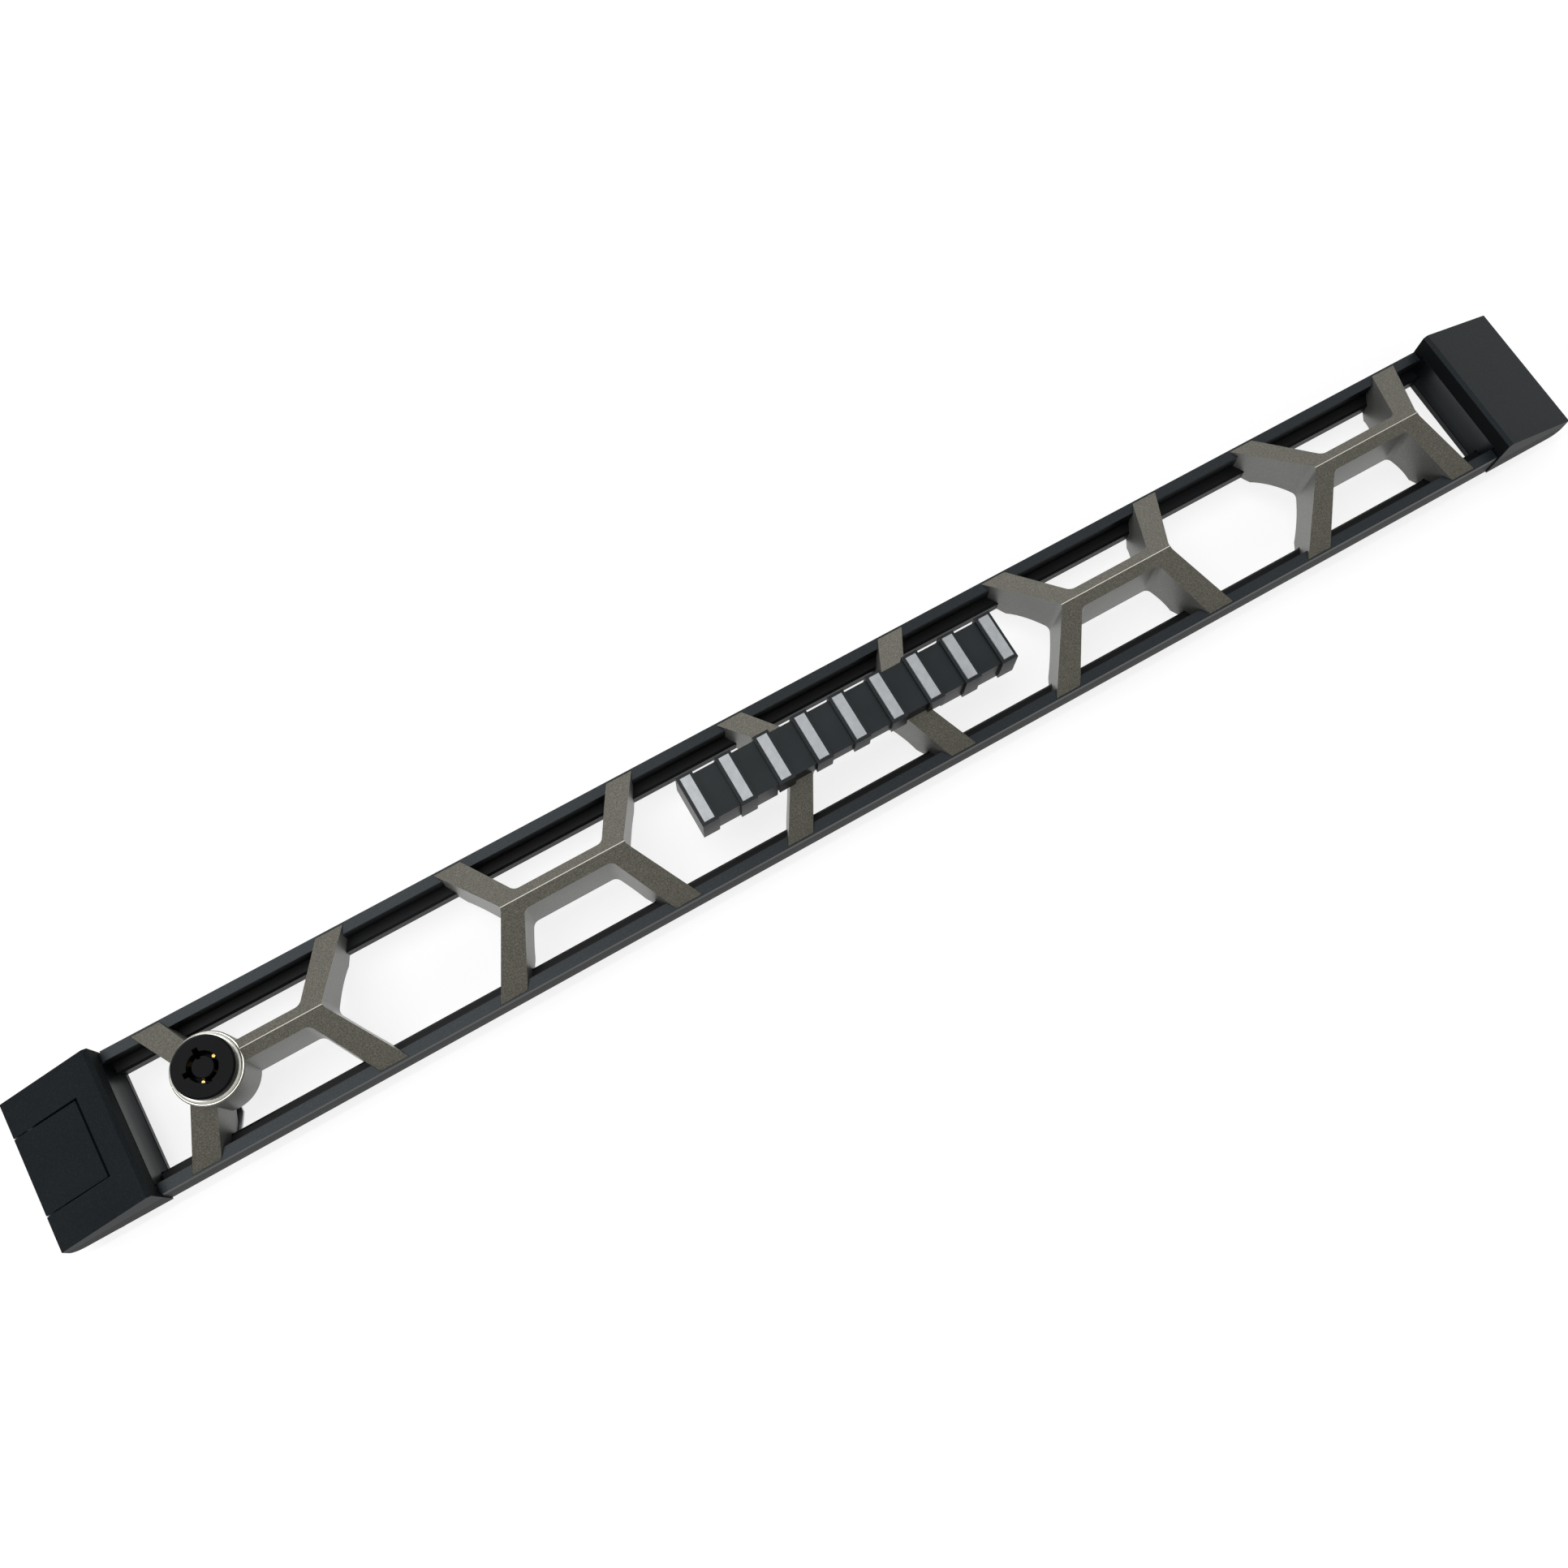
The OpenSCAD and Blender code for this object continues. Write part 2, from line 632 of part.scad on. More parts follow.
module latch_spring() {
    color("#c8cacc") seated()
        translate([latch_right + 0.1, latch_d + latch_t / 2, 0]) rotate([0, 90, 0])
            coil_spring(latch_seat_x - latch_right - 0.2, latch_spring_r * 0.55, 0.2, 4);
}

// Rails that hold the latch against the end plate from in front
module latch_cover() {
    z0 = latch_h / 2 + slack;
    color("#2b3034") seated() difference() {
        mirrored_z() union() {
            block([latch_left + 4, latch_d, z0], [latch_right - 1, end_plate_d - 0.05, z0 + 2.2]);
            block([latch_left + 4, latch_d - 1.2, z0 - 1.3], [latch_right - 1, latch_d - 0.2, z0 + 2.2]);
        }
        mirrored_z() block([latch_left + 4.01, latch_d - 0.21, z0 - 2], [latch_right - 1.01, latch_d, z0 + 0.001]);
    }
}

/* ---------- fixed hooks on the right ---------- */

hook_screw_x = half_w - 20;
hook_screw_z = 6;
hook_plate_t = 1.2;
hook_plate_l = 19;
hook_z = 11;

module hook_plate() {
    x1 = half_w - 6;
    x0 = x1 - hook_plate_l;
    color("#9a9da0") seated() difference() {
        union() {
            block([x0, rear_d + 0.02, -hook_z - 2.5], [x1, rear_d + hook_plate_t, hook_z + 2.5]);
            mirrored_z() up_from(hook_z - 2.5, hook_z + 2.5)
                polygon([[x1 - hook_plate_t, rear_d + 0.02], [x1, rear_d + 0.02], [x1, hook_end_d - 2],
                         [x1 + hook_tip - 1, hook_end_d - 2], [x1 + hook_tip - 1, hook_end_d],
                         [x1 - hook_plate_t, hook_end_d]]);
        }
        mirrored_z() rod(hook_screw_x, hook_screw_z, screw_r + fit, 0, hook_end_d);
        block([x0 + 8, 0, -4], [x1 - 3.5, hook_end_d, 4]);
    }
}

module hook_screws() {
    color("#8a8d90") seated()
        for (sz = [-1, 1])
            screw(hook_screw_x, sz * hook_screw_z, rear_d + hook_plate_t, end_plate_d + 0.1, shank_r = screw_r - 0.05);
}

/* ---------- badge ---------- */

function badge_x(i) = (i - (badge_bars_n - 1) / 2) * badge_pitch;

module badge_outline(w_extra, h) {
    for (i = [0 : badge_bars_n - 1]) translate([badge_x(i), 0]) square([badge_bar_w + w_extra, h], center = true);
}

module badge_plate_outline(inset = 0) {
    square([2 * badge_x(badge_bars_n - 1), badge_plate_h - 2 * inset], center = true);
}

module badge_carrier() {
    block_h = badge_bar_h + 2 * badge_rim;
    roof_z = (badge_back_d + 1 + slack) * arm_end_z / land_d;   // the strut's roof, with its gap
    color("#26292b") seated() difference() {
        union() {
            back_from(badge_plate_d, badge_back_d) badge_plate_outline();
            back_from(badge_front_d, badge_back_d) badge_outline(2 * badge_rim, block_h);
            mirrored_x() rod(badge_stud_x, 0, badge_stud_r, badge_plate_d + 0.5, badge_stud_d - 0.02);
        }
        // hollow from behind, round the ridge of the strut
        difference() {
            back_from(badge_plate_d + badge_wall, badge_back_d + 1) badge_plate_outline(badge_wall);
            mirrored_x() rod(badge_stud_x, 0, badge_stud_r, 0, badge_stud_d - 0.02);
        }
        // recesses under the silver bars
        back_from(badge_front_d - 1, badge_front_d + 0.5) badge_outline(0, badge_bar_h);
        // the arms and the ridge of the strut pass through the skirt
        difference() {
            across(-node_x - 8, node_x + 8)
                polygon([[-slack, 0], [badge_back_d + 1, roof_z], [badge_back_d + 1, -roof_z]]);
            mirrored_x() rod(badge_stud_x, 0, badge_stud_r, 0, badge_stud_d - 0.02);
        }
        mirrored_x() rod(badge_stud_x, 0, screw_r + 0.05, badge_plate_d + 0.9, badge_stud_d + 1);
    }
}

module badge_bars() {
    color("#b9babb") seated() back_from(badge_front_d - 0.6, badge_front_d + 0.45) badge_outline(-0.1, badge_bar_h - 0.1);
}

module badge_screws() {
    color("#8a8d90") seated()
        for (sx = [-1, 1]) screw(sx * badge_stud_x, 0, strut_core_d + 0.12, badge_plate_d + 1.1);
}

/* ---------- lock ---------- */

// Turned part about the lock axis: outline of radius and depth
module turned() {
    translate([lock_x, 0, 0]) rotate([-90, 0, 0]) rotate_extrude($fn = 96) children();
}

module lock_barrel() {
    edge = 0.5;
    head_front = -lock_proud;
    color("#101214") seated() difference() {
        turned() polygon([[keyway_r, head_front], [lock_face_r - edge, head_front], [lock_face_r, head_front + edge],
                          [lock_face_r, collar_front_d], [lock_body_r, collar_front_d], [lock_body_r, barrel_end_d],
                          [keyway_r, barrel_end_d]]);
        // key notches above, to the left of and below the keyway
        translate([lock_x, 0, 0]) for (a = [90, 180, 270]) rotate([0, -a, 0])
            block([keyway_r - 0.5, head_front - 1, -notch_w / 2],
                  [keyway_r + (a == 270 ? 0.5 : 1.1), head_front + keyway_depth, notch_w / 2]);
    }
}

// Collar: a rounded band in front, a fine groove and a flange against the boss
module lock_collar() {
    c = collar_front_d + 0.02;
    band_r = collar_r - 0.25;
    color("#c9cacb") seated()
        turned() polygon([[lock_body_r + 0.05, c], [band_r - 0.55, c], [band_r - 0.15, c + 0.15], [band_r, c + 0.45],
                          [band_r, c + 0.8], [band_r - 0.25, c + 0.9], [band_r - 0.25, c + 1.05],
                          [collar_r, c + 1.1], [collar_r, boss_d - 0.02], [lock_body_r + 0.05, boss_d - 0.02]]);
}

module lock_nut() {
    color("#9a9da0") seated() difference() {
        translate([lock_x, nut_d + nut_t, 0]) rotate([90, 0, 0]) cylinder(r = nut_r, h = nut_t, $fn = 6);
        rod(lock_x, 0, lock_body_r + 0.05, nut_d - 1, nut_d + nut_t + 1);
    }
}

// Turning post with the pin ring at the bottom of the keyway and the square-shouldered tail
module lock_post() {
    gap = 0.05;
    front = -lock_proud + 0.2;
    color("#17191b") seated() difference() {
        turned() polygon([[0, front], [post_r - 0.2, front], [post_r, front + 0.2], [post_r, front + keyway_depth],
                          [keyway_r - gap, front + keyway_depth], [keyway_r - gap, barrel_end_d],
                          [tail_r, barrel_end_d], [tail_r, cam_front_d + cam_t - 0.05], [0, cam_front_d + cam_t - 0.05]]);
        translate([lock_x, 0, 0]) block([-0.5, front - 1, post_r - 0.7], [0.5, front + keyway_depth - 0.5, post_r + 1]);
        rod(lock_x, 0, 0.85, cam_front_d - 3, cam_front_d + cam_t + 1);
        for (a = [45 : 90 : 315]) pin_place(a) cylinder(r = pin_r + 0.03, h = pin_l);
    }
}

pin_r = 0.45;
pin_l = 2;
pin_front_d = -lock_proud + 0.2 + keyway_depth - 0.5;

// Place of one brass pin in the ring between post and keyway wall
module pin_place(a) {
    translate([lock_x, pin_front_d, 0]) rotate([0, -a, 0]) translate([(post_r + keyway_r) / 2, 0, 0])
        rotate([-90, 0, 0]) children();
}

module lock_pins() {
    color("#c9a94f") seated() for (a = [45 : 90 : 315]) pin_place(a) cylinder(r = pin_r, h = pin_l - 0.05);
}

// Cam with its drive pin, which starts down and to the left of the lock axis
module lock_cam() {
    pin_x = lock_x + cam_pin_offset * cos(cam_start);
    pin_z = cam_pin_offset * sin(cam_start);
    color("#8f9296") seated() difference() {
        union() {
            rod(lock_x, 0, 4, cam_front_d, cam_front_d + cam_t);
            rod(pin_x, pin_z, 2.4, cam_front_d, cam_front_d + cam_t);
            translate([lock_x, 0, 0]) rotate([0, -cam_start, 0])
                block([0, cam_front_d, -2.4], [cam_pin_offset, cam_front_d + cam_t, 2.4]);
            rod(pin_x, pin_z, cam_pin_r, bar_front_d - 0.1, cam_front_d + 0.5);
        }
        rod(lock_x, 0, tail_r + 0.02, cam_front_d - 1, cam_front_d + cam_t + 1);
    }
}

module cam_screw() {
    color("#8a8d90") seated()
        screw(lock_x, 0, cam_front_d + cam_t + 0.02, cam_front_d - 2.5, head_r = 3.2, shank_r = 0.8);
}

/* ---------- locking bar ---------- */

bar_z = -(window_z + rail_z) / 2;
bar_h = 4.4;
bar_slot_r = 1.4;
bar_screw_r = 0.8;
bar_screw_gap = 3.3;                     // from a strut screw to the nearer bar screw
bar_screw_pitch = 16;
bar_screw_xs = [for (i = [0, 1]) strut_x(0) - arm_screw_x - bar_screw_gap - i * bar_screw_pitch];
bar_left = bar_screw_xs[1] - cam_travel - bar_slot_r - 3;
fork_slot = 2 * (cam_pin_r + 0.35);

// Bar along the lower rail, stem behind the strut's arm and fork round the cam's pin
module bar_outline() {
    fork_x = lock_x - cam_travel / 2;
    fork_r = fork_slot / 2 + 1.8;
    stem_top = -cam_pin_offset - cam_pin_r - 0.6;
    low = bar_z - bar_h / 2;
    top = bar_z + bar_h / 2;
    lean = (stem_top - 1.8 - top) * tan(arm_lean);
    difference() {
        union() {
            polygon([[bar_left, low], [fork_x - lean + fork_r, low], [fork_x - lean + fork_r, top],
                     [fork_x + fork_r, stem_top - 1.8], [fork_x - fork_r, stem_top - 1.8],
                     [fork_x - lean - fork_r, top], [bar_left, top]]);
            translate([fork_x - fork_r, stem_top - 1.81]) square([2 * fork_r, -stem_top + 1.8 - tail_r - 1]);
        }
        translate([fork_x - fork_slot / 2, stem_top]) square([fork_slot, 10]);
        // guide slots, which run to the left of the screws over the bar's travel
        for (x = bar_screw_xs) {
            translate([x - cam_travel, bar_z]) circle(r = bar_slot_r);
            translate([x, bar_z]) circle(r = bar_slot_r);
            translate([x - cam_travel, bar_z - bar_slot_r]) square([cam_travel, 2 * bar_slot_r]);
        }
    }
}

module locking_bar() {
    color("#7d8184") seated() {
        back_from(bar_front_d, bar_front_d + bar_t) bar_outline();
        // tongue bent back at the outer end
        block([bar_left, bar_front_d, bar_z - bar_h / 2], [bar_left + bar_t, hook_end_d, bar_z + bar_h / 2]);
    }
}

module bar_screws() {
    color("#8a8d90") seated() for (x = bar_screw_xs) {
        rod(x, bar_z, bar_slot_r - slack, rear_d + 0.02, bar_front_d + bar_t + slack);
        screw(x, bar_z, bar_front_d + bar_t + slack - 0.01, flange_front_d + 1.2, head_r = 2.2, shank_r = bar_screw_r);
    }
}

front_frame();
rear_frame();
lock_strut();
strut_2();
strut_3();
strut_4();
strut_5();
strut_screws();
left_end_cap();
right_end_cap();
cap_screws();
release_button();
button_pin();
button_spring();
latch_slider();
latch_spring();
latch_cover();
hook_plate();
hook_screws();
badge_carrier();
badge_bars();
badge_screws();
lock_barrel();
lock_collar();
lock_nut();
lock_post();
lock_pins();
lock_cam();
cam_screw();
locking_bar();
bar_screws();
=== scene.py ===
import math

import bpy
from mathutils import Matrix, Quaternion, Vector

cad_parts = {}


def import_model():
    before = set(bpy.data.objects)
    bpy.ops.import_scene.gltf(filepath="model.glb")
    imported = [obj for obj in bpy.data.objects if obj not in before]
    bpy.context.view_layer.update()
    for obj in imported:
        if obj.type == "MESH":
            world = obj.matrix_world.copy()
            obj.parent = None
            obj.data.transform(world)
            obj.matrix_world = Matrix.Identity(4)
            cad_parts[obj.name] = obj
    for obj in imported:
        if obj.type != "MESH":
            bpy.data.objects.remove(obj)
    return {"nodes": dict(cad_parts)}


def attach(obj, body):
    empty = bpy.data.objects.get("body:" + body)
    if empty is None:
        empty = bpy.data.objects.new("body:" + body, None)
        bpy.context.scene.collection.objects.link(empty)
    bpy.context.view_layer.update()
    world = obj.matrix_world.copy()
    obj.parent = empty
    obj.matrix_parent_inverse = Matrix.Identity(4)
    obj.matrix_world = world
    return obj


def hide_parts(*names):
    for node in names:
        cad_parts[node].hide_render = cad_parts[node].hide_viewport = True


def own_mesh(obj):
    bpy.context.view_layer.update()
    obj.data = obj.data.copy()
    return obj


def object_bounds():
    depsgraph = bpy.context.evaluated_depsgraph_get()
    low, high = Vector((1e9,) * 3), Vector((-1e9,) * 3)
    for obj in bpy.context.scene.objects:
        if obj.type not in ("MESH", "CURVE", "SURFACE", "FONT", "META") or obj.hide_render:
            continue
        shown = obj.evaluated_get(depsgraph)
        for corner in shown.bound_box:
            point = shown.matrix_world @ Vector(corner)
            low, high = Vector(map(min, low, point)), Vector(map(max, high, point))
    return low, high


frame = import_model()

MM = 0.001                            # the scene is in metres, its sizes are written in millimetres
CAD_BOX = [list(corner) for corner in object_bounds()]
NODES = frame["nodes"]
CENTRE = (Vector(CAD_BOX[0]) + Vector(CAD_BOX[1])) / 2
REAR_Y = CAD_BOX[1][1]                # the hooks' tips
RIDGE_Z = (CAD_BOX[0][2] + CAD_BOX[1][2]) / 2


# ---------- material helpers ----------

def rgb(code):
    """Linear colour of an sRGB hex code such as 3a4b5c."""
    parts = [int(code[i:i + 2], 16) / 255 for i in (0, 2, 4)]
    return (*[c / 12.92 if c <= 0.04045 else ((c + 0.055) / 1.055) ** 2.4 for c in parts], 1)


def plug(tree, node, inputs):
    """Sets or links a node's inputs."""
    for name, value in inputs.items():
        if isinstance(value, bpy.types.NodeSocket):
            tree.links.new(value, node.inputs[name])
        else:
            node.inputs[name].default_value = value


def add(tree, kind, inputs=None, **settings):
    """Adds a shader node with its settings, and sets or links its inputs."""
    node = tree.nodes.new("ShaderNode" + kind)
    for name, value in settings.items():
        setattr(node, name, value)
    plug(tree, node, inputs or {})
    return node


def material(name):
    """A new material: its node tree and its Principled shader."""
    made = bpy.data.materials.new(name)
    made.use_nodes = True
    return made, made.node_tree, made.node_tree.nodes["Principled BSDF"]


def calc(tree, operation, first, second=0.0):
    """One step of arithmetic."""
    return add(tree, "Math", {0: first, 1: second}, operation=operation).outputs[0]


def fade(tree, value, start, end, low=0.0, high=1.0):
    """Goes from low to high while value goes from start to end."""
    return add(tree, "MapRange", {"Value": value, "From Min": start, "From Max": end, "To Min": low,
                                  "To Max": high}).outputs["Result"]


def normal(tree, axis):
    """How far the surface faces along an axis. Fronts face along -Y."""
    return add(tree, "SeparateXYZ", {"Vector": add(tree, "NewGeometry").outputs["Normal"]}).outputs[axis]


def grain(tree, size_mm, detail=2.0, stretch=(1, 1, 1)):
    """Noise whose spots are size_mm across, fixed to the piece."""
    place = add(tree, "TexCoord")
    scaled = add(tree, "Mapping", {"Vector": place.outputs["Object"], "Scale": stretch})
    return add(tree, "TexNoise", {"Vector": scaled.outputs["Vector"], "Scale": 1 / (size_mm * MM),
                                  "Detail": detail}).outputs["Fac"]


def ramp(tree, value, *stops):
    """Colour along stops of (position, colour code)."""
    node = add(tree, "ValToRGB", {"Fac": value})
    band = node.color_ramp
    while len(band.elements) < len(stops):
        band.elements.new(0.5)
    for element, (position, code) in zip(band.elements, stops):
        element.position = position
        element.color = rgb(code)
    return node.outputs["Color"]


def clouded(tree, size_mm, detail, dark, light, stretch=(1, 1, 1)):
    """A tone that drifts between two colour codes, in clouds size_mm across."""
    return ramp(tree, grain(tree, size_mm, detail, stretch), (0.3, dark), (0.7, light))


def mix(tree, amount, first, second):
    """Colour that goes from first to second with amount."""
    return add(tree, "Mix", {0: amount, 6: first, 7: second}, data_type="RGBA").outputs[2]


def speckled(tree, tone, fleck):
    """A tone with faint lighter flecks, such as a textured mould leaves."""
    return mix(tree, fade(tree, grain(tree, FLECK_MM, 3), 0.45, 0.8, high=0.5), tone, fleck)


def relief(tree, shader, height, depth_mm, strength):
    """Bumps of the given depth on a shader's surface."""
    bump = add(tree, "Bump", {"Height": height, "Distance": depth_mm * MM, "Strength": strength})
    tree.links.new(bump.outputs["Normal"], shader.inputs["Normal"])


# ---------- finishes ----------

FLECK_MM = 0.5                        # across the flecks of a textured mould
FACET, FACET_EDGE = -0.78, -0.7       # how far along Y the struts' facets face, and the edges that begin there
WALL, WALL_EDGE = -0.15, -0.3         # the same for their drafted walls
# out to these distances from the ridge line the struts' front carries a painted highlight, full and then fading
RIDGE_HIGHLIGHT_FULL, RIDGE_HIGHLIGHT_END = 0.08 * MM, 0.13 * MM       # from the ridge line


def bronze_metallic_paint():
    """ABS with a sprayed bronze metallic paint. Its flakes lie on the front facets, and the drafted walls have a
    smoother, greyer coat. The edges between facets and walls stay dark, and a bright line along the ridge is a
    painted highlight."""
    made, tree, shader = material("bronze_metallic_paint")
    facing = normal(tree, "Y")
    front = fade(tree, facing, FACET_EDGE, FACET)
    side = fade(tree, facing, WALL_EDGE, WALL)
    height = add(tree, "SeparateXYZ", {"Vector": add(tree, "NewGeometry").outputs["Position"]}).outputs["Z"]
    beside = calc(tree, "ABSOLUTE", calc(tree, "SUBTRACT", height, RIDGE_Z))
    # painted highlight along the ridge: full on the ridge line, fading out beside it, on the front facets only
    ridge_highlight = calc(tree, "MULTIPLY", fade(tree, beside, RIDGE_HIGHLIGHT_END, RIDGE_HIGHLIGHT_FULL), front)
    flakes = ramp(tree, grain(tree, 0.3, 3), (0.32, "46453d"), (0.5, "5c5a50"), (0.68, "787568"))
    walls = ramp(tree, grain(tree, 0.4), (0.35, "70706e"), (0.65, "7d7d7a"))
    coat = mix(tree, side, mix(tree, front, rgb("33332f"), flakes), walls)
    walls_and_highlight = calc(tree, "MAXIMUM", side, ridge_highlight)
    # e2dfd4 along the ridge is the painted highlight, which is also made more metallic and smoother
    plug(tree, shader, {"Base Color": mix(tree, ridge_highlight, coat, rgb("e2dfd4")),
                        "Metallic": fade(tree, walls_and_highlight, 0, 1, 0.3, 0.5),
                        "Roughness": fade(tree, walls_and_highlight, 0, 1, 0.5, 0.38)})
    relief(tree, shader, grain(tree, 0.35), 0.015, 0.5)
    return made


def moulded_slate_abs():
    """Black ABS from a lightly polished mould: slate and satin in front, with faint flow marks along the rails,
    and the drawn walls painted deeper black as painted shade."""
    made, tree, shader = material("moulded_slate_abs")
    flow = clouded(tree, 30, 3, "171b1e", "1e2327", stretch=(0.3, 1, 1))
    front = fade(tree, normal(tree, "Y"), -0.3, -0.7)
    # faces turned away from the front get 0d0f11, painted shade
    plug(tree, shader, {"Base Color": mix(tree, front, rgb("0d0f11"), speckled(tree, flow, rgb("2e363a"))),
                        "Roughness": 0.36, "Specular IOR Level": 0.32, "Specular Tint": rgb("e6eef1")})
    relief(tree, shader, grain(tree, 0.5), 0.01, 0.5)
    return made


def moulded_grey_abs():
    """Dark grey ABS of the rear frame: satin, and plainer than the front."""
    made, tree, shader = material("moulded_grey_abs")
    plug(tree, shader, {"Base Color": clouded(tree, 25, 3, "08090b", "0d0f11"), "Roughness": 0.46,
                        "Specular IOR Level": 0.15})
    relief(tree, shader, grain(tree, 0.6), 0.015, 0.5)
    return made


def textured_cap_abs():
    """Black ABS of the end caps: a fine spark-eroded texture, which makes it satin. The walls beside the windows
    are rougher, and painted darker as painted shade."""
    made, tree, shader = material("textured_cap_abs")
    tone = clouded(tree, 18, 3, "0a0d10", "0f1317")
    wall = fade(tree, calc(tree, "ABSOLUTE", normal(tree, "X")), 0.6, 0.9)
    # 08090a on the walls beside the windows is painted shade
    plug(tree, shader, {"Base Color": mix(tree, wall, speckled(tree, tone, rgb("22282c")), rgb("08090a")),
                        "Roughness": fade(tree, wall, 0, 1, 0.4, 0.95),
                        "Specular IOR Level": 0.15, "Specular Tint": rgb("d8e7eb")})
    relief(tree, shader, grain(tree, 0.35), 0.02, 0.6)
    return made


def semi_gloss_badge_black():
    """Black ABS of the badge: a slate plate, with its edges and drawn skirt painted black as painted shade."""
    made, tree, shader = material("semi_gloss_badge_black")
    front = fade(tree, normal(tree, "Y"), -0.3, -0.9)
    # faces turned away from the front get 08090b, painted shade
    plug(tree, shader, {"Base Color": mix(tree, front, rgb("08090b"), clouded(tree, 12, 3, "1c2123", "242a2d")),
                        "Roughness": 0.34, "Specular IOR Level": 0.2})
    relief(tree, shader, grain(tree, 0.5), 0.01, 0.4)
    return made


def satin_silver():
    """Satin silver foil on the badge's bars: slightly mottled, with a painted highlight on its bevelled edges."""
    made, tree, shader = material("satin_silver")
    edge = fade(tree, normal(tree, "Y"), -0.98, -0.9)
    # eceded on the bevels, where the faces turn from the front, is a painted highlight
    plug(tree, shader, {"Base Color": mix(tree, edge, clouded(tree, 2.2, 4, "a2a5a8", "afb2b5"), rgb("eceded")),
                        "Metallic": 0.5, "Roughness": 0.36})
    relief(tree, shader, grain(tree, 0.45), 0.015, 0.4)
    return made


def gloss_black_enamel():
    """Black enamel on the lock's face and post."""
    made, tree, shader = material("gloss_black_enamel")
    plug(tree, shader, {"Base Color": clouded(tree, 5, 3, "08090b", "0c0d10"), "Roughness": 0.26,
                        "Specular IOR Level": 0.05})
    relief(tree, shader, grain(tree, 0.7), 0.004, 0.4)
    return made


def turned_nickel():
    """Nickel-plated, turned collar with faint rings from the lathe."""
    made, tree, shader = material("turned_nickel")
    plug(tree, shader, {"Base Color": clouded(tree, 1.5, 4, "b4b3aa", "cfcec6"), "Metallic": 1.0, "Roughness": 0.2})
    relief(tree, shader, grain(tree, 0.3, stretch=(0.2, 3, 0.2)), 0.01, 0.4)
    return made


def polished_brass():
    """Brass pins of the lock."""
    made, tree, shader = material("polished_brass")
    plug(tree, shader, {"Base Color": clouded(tree, 0.6, 2, "c79f4c", "e2c47c"), "Metallic": 1.0, "Roughness": 0.22})
    return made


def zinc_plated_steel():
    """Zinc-plated steel of screws, hooks, cam and locking bar: bright, slightly clouded."""
    made, tree, shader = material("zinc_plated_steel")
    plug(tree, shader, {"Base Color": clouded(tree, 3, 4, "85888b", "a3a6a8"), "Metallic": 1.0, "Roughness": 0.3})
    relief(tree, shader, grain(tree, 0.5), 0.01, 0.4)
    return made


def spring_wire():
    """Drawn spring steel."""
    made, tree, shader = material("spring_wire")
    plug(tree, shader, {"Base Color": clouded(tree, 1, 2, "a8aaac", "c4c6c8"), "Metallic": 1.0, "Roughness": 0.25})
    return made


FINISHES = {
    bronze_metallic_paint: ["lock_strut", "strut_2", "strut_3", "strut_4", "strut_5"],
    moulded_slate_abs: ["front_frame", "latch_cover", "latch_slider"],
    moulded_grey_abs: ["rear_frame"],
    textured_cap_abs: ["left_end_cap", "right_end_cap", "release_button"],
    semi_gloss_badge_black: ["badge_carrier"],
    satin_silver: ["badge_bars"],
    gloss_black_enamel: ["lock_barrel", "lock_post"],
    turned_nickel: ["lock_collar"],
    polished_brass: ["lock_pins"],
    zinc_plated_steel: ["strut_screws", "cap_screws", "hook_plate", "hook_screws", "badge_screws", "button_pin",
                        "lock_nut", "lock_cam", "cam_screw", "locking_bar", "bar_screws"],
    spring_wire: ["button_spring", "latch_spring"],
}


def dress():
    """Gives each node its finish."""
    for finish, names in FINISHES.items():
        made = finish()
        for name in names:
            node = NODES[name]
            node.data.materials.clear()
            node.data.materials.append(made)


# ---------- springs ----------


def shortening_spring(name):
    """Stands for a rigid CAD spring: a copy with a mesh of its own rides on the frame's body in place of the hidden
    CAD solid.
    """
    solid = NODES[name]
    spring = bpy.data.objects.new(name + "_wire", solid.data.copy())
    bpy.context.scene.collection.objects.link(spring)
    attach(spring, "frame")
    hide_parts(name)
    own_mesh(spring)


def springs():
    """The button's spring seats on the end plate behind it, and the latch's spring on the left cap's inner wall.
    The button tilts as it goes in. Each spring is copied onto the frame in place of its CAD solid."""
    shortening_spring("button_spring")
    shortening_spring("latch_spring")


# ---------- rounded edges ----------

FLAT_WITHIN = 0.5                     # degrees between faces that are one flat
EDGE_FROM = 25                        # degrees between faces that meet in an edge
EDGE_MM = {
    "front_frame": 0.2, "rear_frame": 0.2, "left_end_cap": 0.25, "right_end_cap": 0.25, "release_button": 0.2,
    "lock_strut": 0.2, "strut_2": 0.2, "strut_3": 0.2, "strut_4": 0.2, "strut_5": 0.2,
    "badge_carrier": 0.15, "badge_bars": 0.35, "lock_barrel": 0.12, "lock_post": 0.1, "lock_collar": 0.15,
}


def round_edges():
    """Real mouldings have no sharp edges: a small bevel on each lets it catch the light. Flats are joined first, so
    that it runs on real edges only."""
    for name, width in EDGE_MM.items():
        node = NODES[name]
        flat = node.modifiers.new("merge_flats", "DECIMATE")
        flat.decimate_type = "DISSOLVE"
        flat.angle_limit = math.radians(FLAT_WITHIN)
        bevel = node.modifiers.new("edges", "BEVEL")
        bevel.width = width * MM
        bevel.segments = 2
        bevel.limit_method = "ANGLE"
        bevel.angle_limit = math.radians(EDGE_FROM)


# ---------- stage ----------

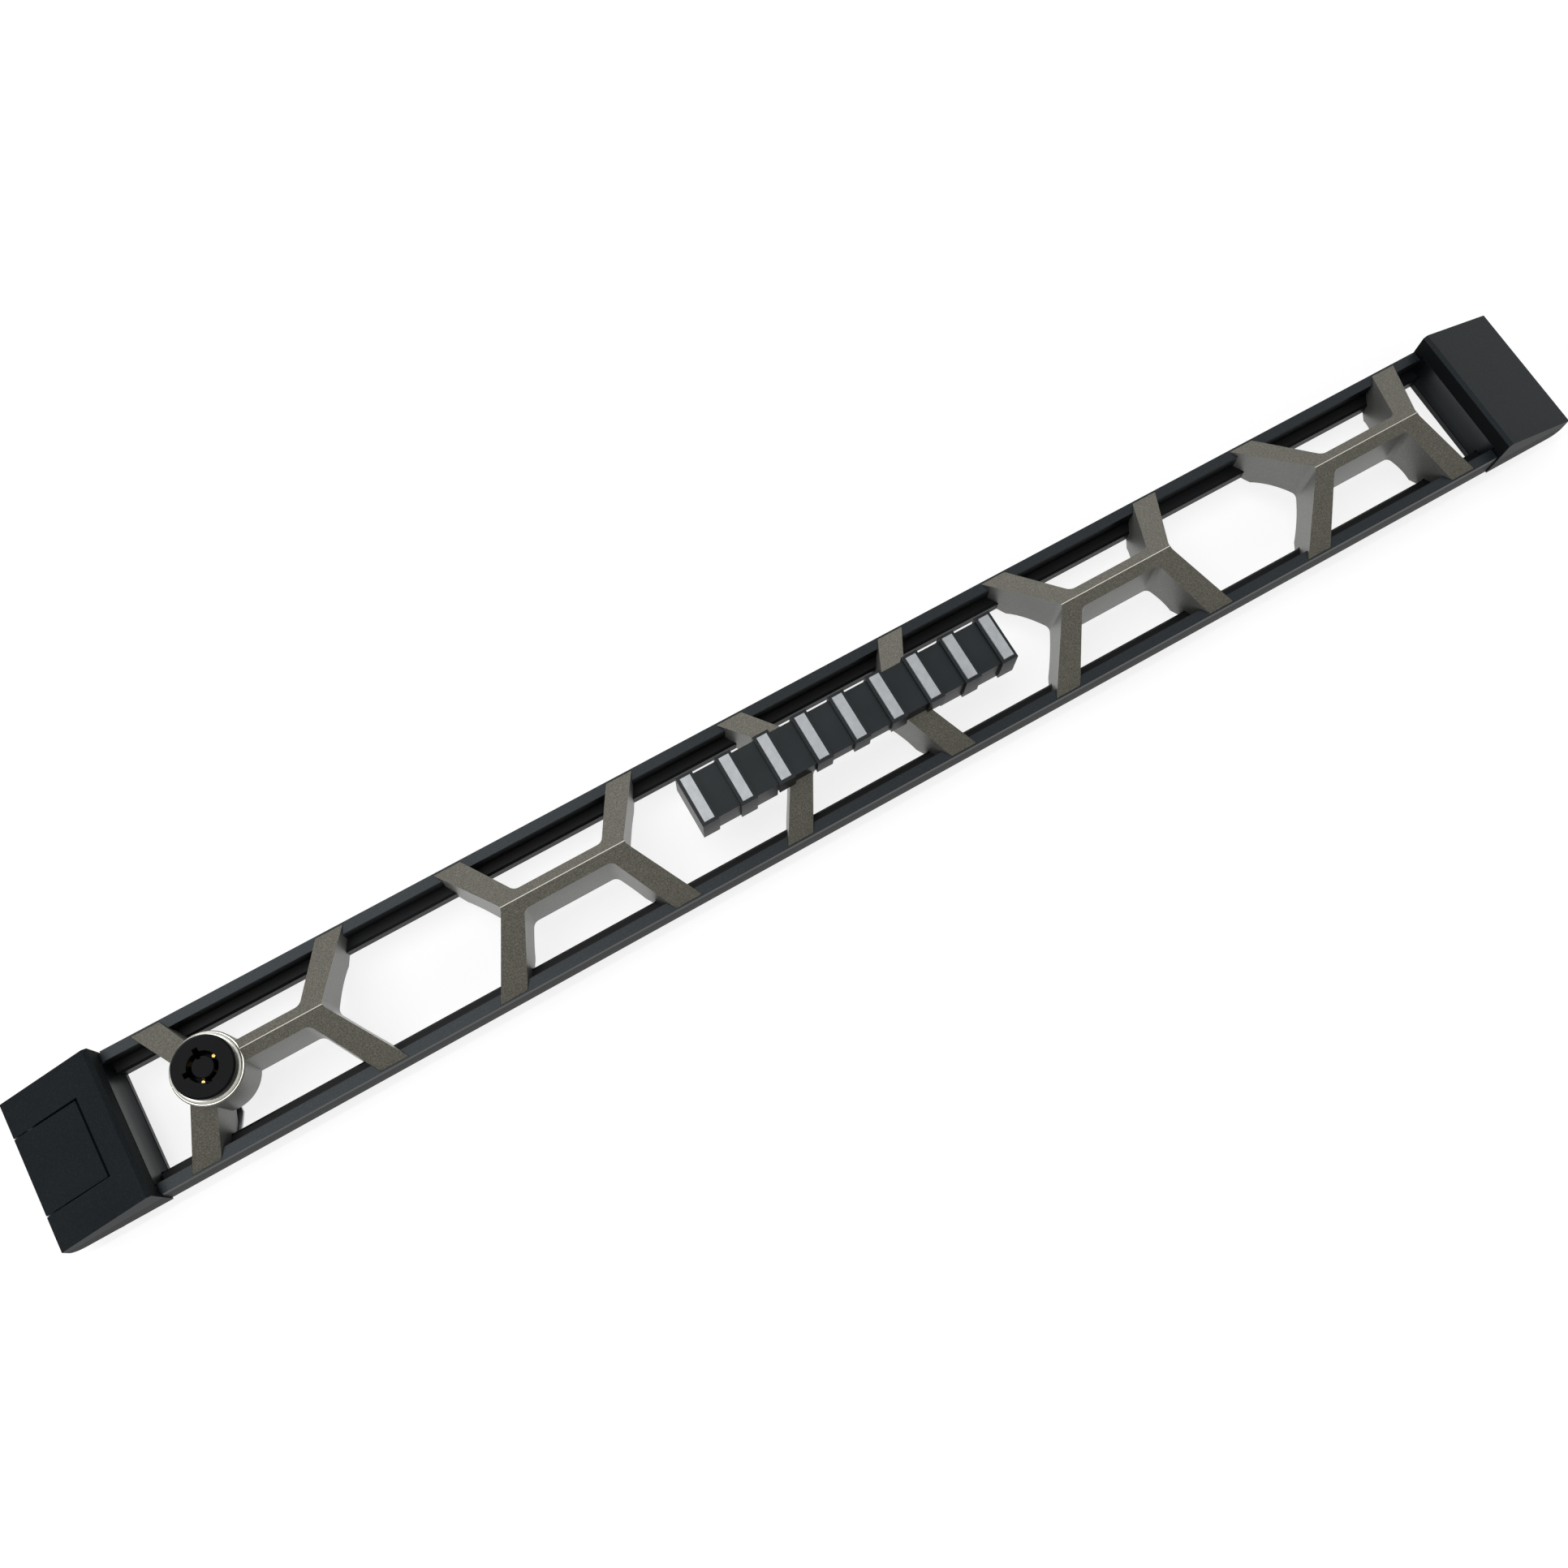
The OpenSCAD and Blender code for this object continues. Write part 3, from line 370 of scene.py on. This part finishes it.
STAGE_SIZE = 6                        # metres across the backdrop and the floor
BACKDROP_GAP = 1 * MM                 # behind the hooks' tips
FLOOR_DROP = 0.2 * MM                 # under the bezel
UNSEEN_GLOW = 0.1                     # how much the pale planes glow as light
WORLD_LIGHT = 0.3                     # how much of the white surroundings counts as light
LAMPS = {                             # place and size in metres, and watts
    "key_lamp": ((-0.4, -1.2, 0.25), (0.9, 0.8), 5.5),
    "left_lamp": ((-1.1, -0.4, -0.5), (0.6, 0.6), 4),
    "under_lamp": ((-0.1, -0.7, -1.0), (1.2, 0.6), 3),
    "top_lamp": ((0.15, -0.4, 1.2), (1.2, 0.6), 3),
    "right_lamp": ((1.3, -0.4, 0.25), (0.6, 0.6), 0.4),
    "back_lamp": ((0.3, 1.2, 0.8), (1.0, 0.8), 5),
}


def seen_or_mirrored(tree):
    """One for rays from the camera and for those by which gloss and glass show the surroundings."""
    path = add(tree, "LightPath").outputs
    either = calc(tree, "MAXIMUM", path["Is Camera Ray"], path["Is Glossy Ray"])
    return calc(tree, "MAXIMUM", either, path["Is Transmission Ray"])


def pale_wall(name, place, turn, colour, glow):
    """A pale plane that shows from its front only, so that views from behind it see the bezel."""
    bpy.ops.mesh.primitive_plane_add(size=STAGE_SIZE, location=place, rotation=turn)
    wall = bpy.context.object
    wall.name = name
    made, tree, shader = material(name)
    plug(tree, shader, {"Base Color": rgb(colour), "Roughness": 0.9})
    strength = fade(tree, seen_or_mirrored(tree), 0, 1, UNSEEN_GLOW, glow)
    lamp = add(tree, "Emission", {"Color": rgb("ffffff"), "Strength": strength})
    lit = add(tree, "AddShader", {0: shader.outputs["BSDF"], 1: lamp.outputs["Emission"]})
    see_through = add(tree, "BsdfTransparent")
    facing = add(tree, "NewGeometry")
    both = add(tree, "MixShader", {0: facing.outputs["Backfacing"], 1: lit.outputs["Shader"],
                                   2: see_through.outputs["BSDF"]})
    tree.links.new(both.outputs["Shader"], tree.nodes["Material Output"].inputs["Surface"])
    wall.data.materials.append(made)
    wall.visible_shadow = False


def area_light(name, place, size, energy):
    """A soft white rectangular lamp that looks at the bezel's middle."""
    lamp = bpy.data.lights.new(name, "AREA")
    lamp.shape = "RECTANGLE"
    lamp.size, lamp.size_y = size
    lamp.energy = energy
    holder = bpy.data.objects.new(name, lamp)
    holder.location = place
    holder.rotation_euler = (CENTRE - Vector(place)).to_track_quat("-Z", "Y").to_euler()
    bpy.context.scene.collection.objects.link(holder)


def world():
    """White behind everything, and a softer grey as light."""
    made = bpy.data.worlds.new("studio")
    bpy.context.scene.world = made
    made.use_nodes = True
    tree = made.node_tree
    tree.nodes.clear()
    seen = add(tree, "Background", {"Color": rgb("ffffff"), "Strength": 1.0})
    light = add(tree, "Background", {"Color": rgb("ffffff"), "Strength": WORLD_LIGHT})
    both = add(tree, "MixShader", {0: seen_or_mirrored(tree), 1: light.outputs["Background"],
                                   2: seen.outputs["Background"]})
    add(tree, "OutputWorld", {"Surface": both.outputs["Shader"]})


def stage():
    """A wall close behind the bezel, a floor under it and soft studio lamps."""
    pale_wall("backdrop", (0, REAR_Y + BACKDROP_GAP, 0), (math.radians(90), 0, 0), "a3a3a3", 0.78)
    pale_wall("floor", (0, 0, -FLOOR_DROP), (0, 0, 0), "a8a8a8", 0.58)
    for name, (place, size, energy) in LAMPS.items():
        area_light(name, place, size, energy)
    world()


# ---------- camera ----------

EYE = (-92.9, -410.6, -91.0)          # mm in the bezel's frame
AIM = (-24.4, -12.6, 13.8)            # mm, a point near the badge
ROLL = -31.01                         # degrees
LENS = 35.83                          # mm on a 36 mm sensor


def camera():
    """Looks up at the bezel from the front left, with the bezel rising to the right."""
    made = bpy.data.cameras.new("camera")
    made.sensor_width = 36
    made.lens = LENS
    made.clip_start = 0.01
    made.clip_end = 20
    holder = bpy.data.objects.new("camera", made)
    bpy.context.scene.collection.objects.link(holder)
    eye, aim = Vector(EYE) * MM, Vector(AIM) * MM
    look = (aim - eye).to_track_quat("-Z", "Y")
    holder.location = eye
    holder.rotation_mode = "QUATERNION"
    holder.rotation_quaternion = look @ Quaternion((0, 0, 1), math.radians(ROLL))
    bpy.context.scene.camera = holder


dress()
springs()
round_edges()
stage()
camera()
bpy.context.scene.view_settings.view_transform = "Standard"
